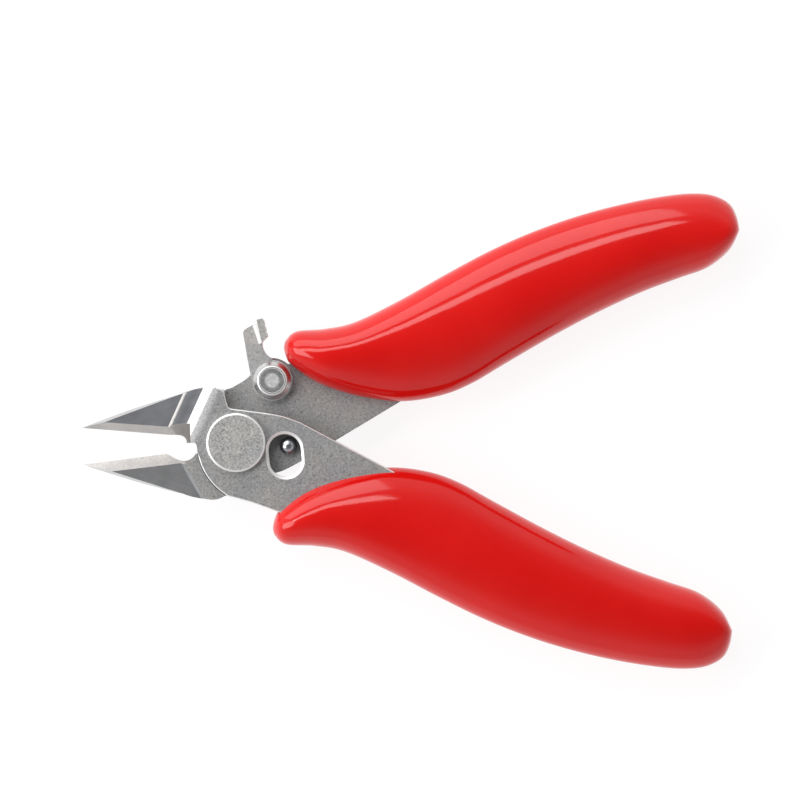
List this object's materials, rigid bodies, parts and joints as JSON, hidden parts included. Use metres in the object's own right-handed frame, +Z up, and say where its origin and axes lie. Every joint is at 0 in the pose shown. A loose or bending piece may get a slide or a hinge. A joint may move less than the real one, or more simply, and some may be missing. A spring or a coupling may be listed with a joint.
{
  "type": "flush cutter",
  "caption": "Small flush cutter for trimming wire and component leads, with two lapped steel halves, a return spring, moulded grips and a thumb latch.",
  "frame": {"origin": "On the bench, under the middle of the open tool's bounding box, where the tool lies flat on its grips.", "axes": "+X runs from the jaws to the handles, +Y to the handle that carries the latch, and +Z up, along the pivot."},
  "size_m": [0.0868, 0.0623, 0.01],
  "materials": {
    "lever_steel": "blasted plates with ground jaws",
    "rivet_steel": "fine satin with a bright edge",
    "latch_steel": "satin",
    "spring_wire": "drawn wire",
    "grip": "smooth and glossy"
  },
  "bodies": {
    "latch_handle": {"rear_lever": "lever_steel", "upper_grip": "grip", "pivot_rivet": "rivet_steel", "stop_pin": "rivet_steel", "return_spring": "spring_wire", "latch_rivet": "rivet_steel", "latch_spring_washer": "rivet_steel"},
    "slot_handle": {"front_lever": "lever_steel", "lower_grip": "grip"},
    "latch": {"latch_lever": "latch_steel"}
  },
  "joints": [
    {"name": "main_pivot", "type": "hinge", "parent": "latch_handle", "child": "slot_handle", "pos_m": [-0.0232, 0, 0.005], "axis": [0, 0, 1], "range_deg": [0, 13], "stiffness_Nm_per_rad": 0.08, "springref_deg": -34.38, "deforming": ["return_spring"]},
    {"name": "latch_pivot", "type": "hinge", "parent": "latch_handle", "child": "latch", "pos_m": [-0.01827, 0.008, 0.005], "axis": [0, 0, 1], "range_deg": [0, 62]}
  ]
}
